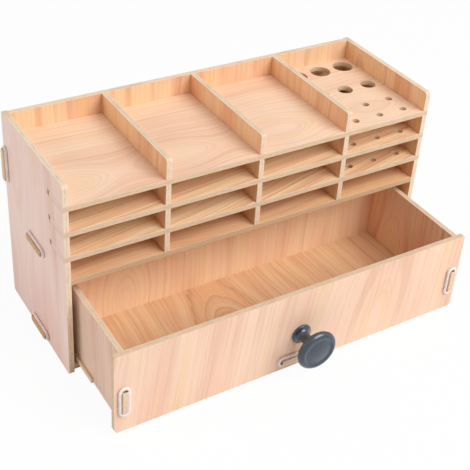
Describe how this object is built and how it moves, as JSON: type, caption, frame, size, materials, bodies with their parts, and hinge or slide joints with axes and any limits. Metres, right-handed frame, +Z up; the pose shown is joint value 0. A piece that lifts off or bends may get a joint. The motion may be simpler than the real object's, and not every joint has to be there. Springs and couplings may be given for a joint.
{
  "type": "desk storage box",
  "caption": "Desktop craft storage box of slotted wooden boards: four columns of open trays and flat compartments, a pen-hole column, and one wide drawer with a round knob.",
  "frame": {"origin": "on the floor, at the middle of the strip that the back panel stands on", "axes": "+X to the right seen from the front, along the width; -Y towards the user, the way the drawer opens; +Z up"},
  "size_m": [0.368, 0.2383, 0.192],
  "materials": {
    "grain_board": "satin wood-grain face",
    "dark_knob": "satin",
    "ring_rubber": "pale silicone",
    "screw_steel": "bright"
  },
  "bodies": {
    "cabinet": {"left_side_panel": "grain_board", "right_side_panel": "grain_board", "back_panel": "grain_board", "left_divider": "grain_board", "middle_divider": "grain_board", "right_divider": "grain_board", "top_shelf": "grain_board", "middle_shelf": "grain_board", "lower_shelf": "grain_board", "drawer_ceiling": "grain_board", "base_board": "grain_board", "left_back_ring": "ring_rubber", "left_ceiling_ring": "ring_rubber", "left_base_ring": "ring_rubber", "right_back_ring": "ring_rubber", "right_ceiling_ring": "ring_rubber", "right_base_ring": "ring_rubber"},
    "drawer": {"drawer_front": "grain_board", "drawer_left_side": "grain_board", "drawer_right_side": "grain_board", "drawer_back": "grain_board", "drawer_bottom": "grain_board", "drawer_knob": "dark_knob", "knob_screw": "screw_steel", "drawer_left_ring": "ring_rubber", "drawer_right_ring": "ring_rubber", "drawer_bottom_ring": "ring_rubber"}
  },
  "joints": [
    {"name": "drawer_slide", "type": "slide", "parent": "cabinet", "child": "drawer", "axis": [0, -1, 0], "range_m": [-0.075, 0.035]}
  ]
}
